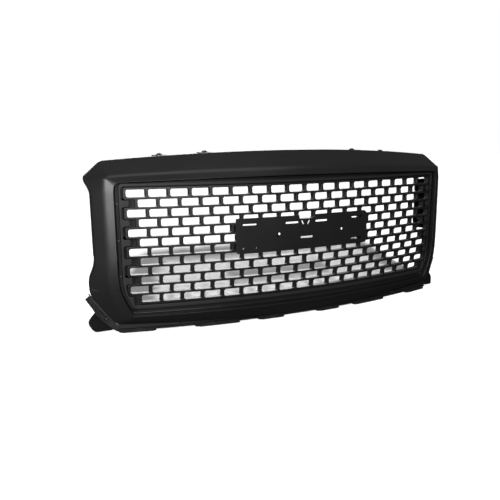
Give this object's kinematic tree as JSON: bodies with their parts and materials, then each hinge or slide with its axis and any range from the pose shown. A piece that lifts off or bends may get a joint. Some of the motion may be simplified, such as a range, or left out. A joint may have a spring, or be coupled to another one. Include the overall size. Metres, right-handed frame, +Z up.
{
  "type": "vehicle front grille",
  "caption": "Wide curved front grille with a raised surround, a brick-pattern mesh, a blank emblem plate, corner pieces and mounting brackets with push-in retainers.",
  "frame": {"origin": "centre of the bounding box in X and Y, on the plane that the lower tabs and the corner flaps stand on", "axes": "+X across the vehicle to the right as seen from in front, -Y forward, +Z up"},
  "size_m": [1.136, 0.18, 0.4525],
  "materials": {
    "satin_black": "satin moulded black",
    "moulded_grey": "fine-grained dark grey",
    "mesh_black": "low-sheen black",
    "bracket_plastic": "plain moulded black",
    "retainer_nylon": "smooth black nylon",
    "flap_rubber": "matte black rubber",
    "clip_steel": "grey coated spring steel",
    "zinc_steel": "dull zinc plate"
  },
  "bodies": {
    "grille": {"surround_shell": "satin_black", "bezel_ring": "moulded_grey", "mesh_insert": "mesh_black", "emblem_plate": "mesh_black", "plate_screws": "zinc_steel", "plate_washers": "zinc_steel", "insert_screws": "zinc_steel", "upper_support": "bracket_plastic", "upper_support_screws": "zinc_steel", "retainer_bodies": "retainer_nylon", "lower_retainer": "bracket_plastic", "lower_retainer_screws": "zinc_steel", "lower_clips": "clip_steel", "corner_strip_left": "bracket_plastic", "corner_strip_right": "bracket_plastic", "corner_strip_screws": "zinc_steel", "corner_flap_left": "flap_rubber", "corner_flap_right": "flap_rubber", "corner_rivets": "zinc_steel", "side_bracket_left": "bracket_plastic", "side_bracket_right": "bracket_plastic", "side_bracket_screws": "zinc_steel", "side_nuts": "clip_steel"},
    "retainer_pin_1": {"retainer_pin_1": "retainer_nylon"},
    "retainer_pin_2": {"retainer_pin_2": "retainer_nylon"},
    "retainer_pin_3": {"retainer_pin_3": "retainer_nylon"},
    "retainer_pin_4": {"retainer_pin_4": "retainer_nylon"}
  },
  "joints": [
    {"name": "retainer_pin_1_slide", "type": "slide", "parent": "grille", "child": "retainer_pin_1", "axis": [0, 0, 1], "range_m": [0, 0.006]},
    {"name": "retainer_pin_2_slide", "type": "slide", "parent": "grille", "child": "retainer_pin_2", "axis": [0, 0, 1], "range_m": [0, 0.006]},
    {"name": "retainer_pin_3_slide", "type": "slide", "parent": "grille", "child": "retainer_pin_3", "axis": [0, 0, 1], "range_m": [0, 0.006]},
    {"name": "retainer_pin_4_slide", "type": "slide", "parent": "grille", "child": "retainer_pin_4", "axis": [0, 0, 1], "range_m": [0, 0.006]}
  ]
}
